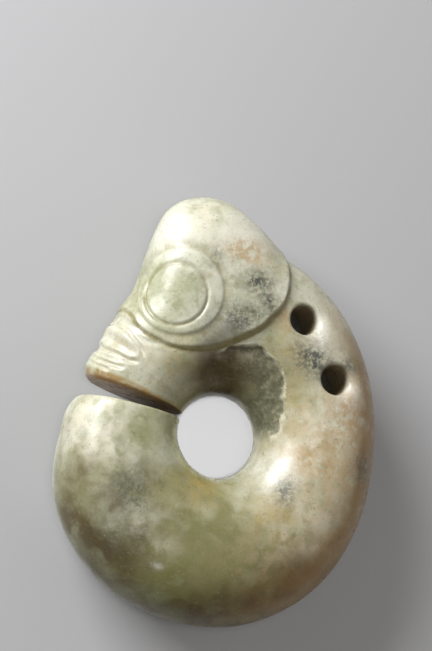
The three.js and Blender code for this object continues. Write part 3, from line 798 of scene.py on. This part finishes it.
# The colour of each kind of stain or painted light and shade, the size it is broken up at in
# millimetres, and how strong it is at least and at most
KINDS = {
    # Olive stone, also painted shade low on the body and on the bore side of each section
    "olive_and_shade": ((0.17, 0.165, 0.045), 9, 0.85, 0.88),
    "tan": ((0.42, 0.33, 0.19), 3.6, 0.05, 0.85),
    # Brown staining with painted shade, darker towards the bottom and shadowed at the lower left
    "umber_and_shade": ((0.085, 0.055, 0.014), 8, 0.5, 0.9),
    "beige": ((0.70, 0.66, 0.53), 5, 0.2, 0.9),
    # Whitish clouds in the stone; on the cord holes' worn flares, painted highlight
    "white_and_highlight": ((0.80, 0.79, 0.71), 3, 0.7, 0.95),
    "ochre": ((0.38, 0.29, 0.10), 6, 0.3, 0.85),
    "russet": ((0.42, 0.26, 0.11), 1.8, 0.1, 0.6),
    # Russet with a painted warm bounce of light on the outer side
    "rim": ((0.29, 0.175, 0.07), 8, 0.5, 0.85),
    "amber": ((0.29, 0.18, 0.045), 4, 0.4, 0.85),
    "snout": ((0.20, 0.085, 0.02), 9, 0.7, 0.95),
    "dark": ((0.065, 0.07, 0.06), 1.2, 0.3, 0.9),
    "scar": ((0.12, 0.12, 0.07), 1.6, 0.55, 0.9),
    # Painted shade with a brown tint on the bore's upper funnel
    "hollow": ((0.055, 0.032, 0.007), 12, 0.9, 0.96),
    # Paler along the scar's lip: a pale edge with a painted highlight
    "lip": ((0.66, 0.64, 0.50), 2, 0.35, 0.6),
    "grime": ((0.21, 0.17, 0.045), 3, 0.4, 0.75),
    # Painted shade, darker brown, on the cord holes' walls
    "hole": ((0.26, 0.19, 0.11), 3, 0.7, 0.9),
}


# Patches all over the stone: colour, size, detail, warp and seed of their noise, where in it
# they start and end, and how strong they are at most. The kinds above, stains and painted light and
# shade, lie between these two lists.
UNDER_STAINS = [
    (KINDS["olive_and_shade"][0], 5, 6, 0.8, 3.0, 0.5, 0.72, 0.45),
    (KINDS["beige"][0], 7, 6, 1.0, 5.0, 0.55, 0.75, 0.5),
    ((0.20, 0.18, 0.075), 2.4, 6, 0.6, 7.0, 0.48, 0.72, 0.45),
    ((0.66, 0.63, 0.50), 3.2, 8, 0.8, 9.0, 0.5, 0.75, 0.3),
]
OVER_STAINS = [
    ((0.60, 0.58, 0.46), 0.8, 4, 0, 30.0, 0.56, 0.74, 0.2),
    ((0.14, 0.12, 0.07), 0.7, 4, 0, 33.0, 0.57, 0.72, 0.5),
]
BREAKUP_DETAIL = 6
BREAKUP_WARP = 0.5
BREAKUP_SEED = 10.0  # of the first kind of stain; each next one has one more
BREAKUP_LEVELS = (0.36, 0.6)
BREAKUP_FULL = 1.2  # before each kind's own limit
VEIN = (0.05, 0.055, 0.05)
VEIN_NOISE = (4, 5, 1.5, 50.0)
VEIN_MIDDLE = 0.5  # the value of the noise that the veins follow
VEIN_WIDTH = 0.035
SCAR_GRAIN = (0.27, 0.265, 0.17)
SCAR_GRAIN_NOISE = (1.1, 6, 0.3, 27.0)
SCAR_GRAIN_LEVELS = (0.46, 0.7, 0, 0.4)
GLOSS_NOISE = (4, 5, 0, 40.0)
GLOSS_LEVELS = (0.3, 0.7, 0.25, 0.4)  # the last two are the roughness that they give
SCAR_ROUGHER = 0.25
PIT_NOISE = (0.7, 4, 0, 44.0)
PIT_SHARE = 0.22  # how strong the pits are; on the scar they have 1 more
PIT_STRENGTH = 0.35
PIT_DEPTH = 0.15
FINISH = {
    "IOR": 1.61,
    "Specular IOR Level": 0.42,
    "Subsurface Weight": 0.22,
    "Subsurface Radius": (1.0, 0.85, 0.45),
    "Subsurface Scale": 0.002,
}


def jade_material():
    """Polished nephrite: clouds of several sizes, stains where they lie with painted shade,
    highlight and warm bounce among them, flecks and fine pits.
    """
    jade = Jade()
    base = jade.mix(jade.between(jade.clouds(*PALE_CLOUDS), *PALE_LEVELS), CELADON, PALE)
    for row in UNDER_STAINS:
        base = jade.patches(base, *row)
    for i, (name, (colour, size, least, most)) in enumerate(KINDS.items()):
        breakup = jade.clouds(size, BREAKUP_DETAIL, BREAKUP_WARP, BREAKUP_SEED + i)
        broken = jade.between(breakup, *BREAKUP_LEVELS, least, BREAKUP_FULL)
        factor = jade.math("MINIMUM", jade.math("MULTIPLY", jade.mask(name), broken), most)
        base = jade.mix(factor, base, colour)

    # Fine dark veins run through the dark clouds
    off_middle = jade.math("SUBTRACT", jade.clouds(*VEIN_NOISE), VEIN_MIDDLE)
    off_middle = jade.math("ABSOLUTE", off_middle, 0)
    veins = jade.math("MULTIPLY", jade.between(off_middle, VEIN_WIDTH, 0), jade.mask("dark"))
    base = jade.mix(veins, base, VEIN)

    # Light grain on the scar's floor
    rough_floor = jade.math("SUBTRACT", jade.mask("scar"), jade.mask("hollow"))
    grains = jade.between(jade.clouds(*SCAR_GRAIN_NOISE), *SCAR_GRAIN_LEVELS)
    base = jade.mix(jade.math("MULTIPLY", rough_floor, grains), base, SCAR_GRAIN)
    for row in OVER_STAINS:
        base = jade.patches(base, *row)
    jade.links.new(base, jade.shader.inputs["Base Color"])

    rough = jade.between(jade.clouds(*GLOSS_NOISE), *GLOSS_LEVELS)
    rough = jade.math("ADD", rough, jade.math("MULTIPLY", jade.mask("scar"), SCAR_ROUGHER))
    jade.links.new(rough, jade.shader.inputs["Roughness"])
    bump = jade.nodes.new("ShaderNodeBump")
    bump.inputs["Strength"].default_value = PIT_STRENGTH
    bump.inputs["Distance"].default_value = PIT_DEPTH * MM
    share = jade.math("ADD", PIT_SHARE, jade.mask("scar"))
    pits = jade.math("MULTIPLY", jade.clouds(*PIT_NOISE), share)
    jade.links.new(pits, bump.inputs["Height"])
    jade.links.new(bump.outputs["Normal"], jade.shader.inputs["Normal"])
    for name, value in FINISH.items():
        jade.shader.inputs[name].default_value = value
    return jade.material


# Places in the frame, in millimetres
CAMERA_PLACE = Vector((-139.67, -53.33, 592.56))
CAMERA_TARGET = Vector((-0.02, 27.98, 19.85))
BORE_THROAT = Vector((-0.41, -8.95, 19.85))
LENS = 100
SENSOR_HEIGHT = 36

# The studio, in metres and watts. Each softbox has its place, size, power and colour.
STONE_MIDDLE = Vector((0, 0, 0.02))
SOFTBOXES = {
    "key": ((-0.50, 0.52, 0.42), (0.54, 0.4), 10.3, (0.985, 0.99, 1)),
    "fill": ((0.62, 0.0, 0.5), (0.7, 0.7), 1.0, (1, 0.96, 0.9)),
    "overhead": ((-0.12, -0.05, 0.8), (0.15, 0.15), 1.0, (1, 1, 1)),
}
BEAM_POWER = 20
BEAM_ANGLE = 2.7  # degrees
BEAM_BLEND = 0.1
BEAM_RADIUS = 0.001
FLOOR_HALF = 2.0
FLOOR_LEVEL = -0.0001
FLOOR_COLOUR = (0.44, 0.44, 0.45, 1)
FLOOR_ROUGHNESS = 0.8
AROUND_COLOUR = (1, 0.97, 0.91, 1)
AROUND_STRENGTH = 0.16


def make_camera():
    """The photograph's view: nearly square on to the face, a little from the left and below."""
    position = CAMERA_PLACE * MM
    back = (position - CAMERA_TARGET * MM).normalized()
    right = Vector((0, 1, 0)).cross(back).normalized()
    up = back.cross(right)
    data = bpy.data.cameras.new("camera")
    data.lens = LENS
    data.sensor_fit = "VERTICAL"
    data.sensor_height = SENSOR_HEIGHT
    data.clip_start = 0.01
    camera = bpy.data.objects.new("camera", data)
    turned = Matrix((right, up, back)).transposed().to_4x4()
    camera.matrix_world = Matrix.Translation(position) @ turned
    bpy.context.scene.collection.objects.link(camera)
    bpy.context.scene.camera = camera


def area_light(name, place, size, power, colour):
    """A softbox that faces the stone."""
    data = bpy.data.lights.new(name, "AREA")
    data.shape = "RECTANGLE"
    data.size, data.size_y = size
    data.energy = power
    data.color = colour
    light = bpy.data.objects.new(name, data)
    light.location = place
    to_stone = STONE_MIDDLE - Vector(place)
    light.rotation_euler = to_stone.to_track_quat("-Z", "Y").to_euler()
    bpy.context.scene.collection.objects.link(light)
    return light


def through_bore():
    """A narrow beam that lights the floor seen through the bore, bright in the photograph."""
    data = bpy.data.lights.new("through bore", "SPOT")
    data.energy = BEAM_POWER
    data.spot_size = np.radians(BEAM_ANGLE)
    data.spot_blend = BEAM_BLEND
    data.shadow_soft_size = BEAM_RADIUS
    light = bpy.data.objects.new("through bore", data)
    light.matrix_world = bpy.context.scene.camera.matrix_world
    to_throat = BORE_THROAT * MM - light.matrix_world.translation
    light.rotation_euler = to_throat.to_track_quat("-Z", "Y").to_euler()
    light.visible_glossy = False
    bpy.context.scene.collection.objects.link(light)


def make_studio():
    """The pale floor, the softboxes, the beam through the bore and the dim light all round."""
    floor_mesh = bpy.data.meshes.new("floor")
    signs = ((-1, -1), (1, -1), (1, 1), (-1, 1))
    corners = [(x * FLOOR_HALF, y * FLOOR_HALF, FLOOR_LEVEL) for x, y in signs]
    floor_mesh.from_pydata(corners, [], [(0, 1, 2, 3)])
    floor = bpy.data.objects.new("floor", floor_mesh)
    bpy.context.scene.collection.objects.link(floor)
    plain = bpy.data.materials.new("floor")
    plain.use_nodes = True
    shader = plain.node_tree.nodes["Principled BSDF"]
    shader.inputs["Base Color"].default_value = FLOOR_COLOUR
    shader.inputs["Roughness"].default_value = FLOOR_ROUGHNESS
    floor_mesh.materials.append(plain)
    lights = {name: area_light(name, *row) for name, row in SOFTBOXES.items()}
    lights["overhead"].visible_glossy = False
    through_bore()
    world = bpy.data.worlds.new("studio")
    world.use_nodes = True
    background = world.node_tree.nodes["Background"]
    background.inputs["Color"].default_value = AROUND_COLOUR
    background.inputs["Strength"].default_value = AROUND_STRENGTH
    bpy.context.scene.world = world


bpy.context.scene.view_settings.view_transform = "Standard"
make_camera()
make_studio()
stone = make_stone()
stone.data.materials.append(jade_material())
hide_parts("jade_dragon")
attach(stone, "root")
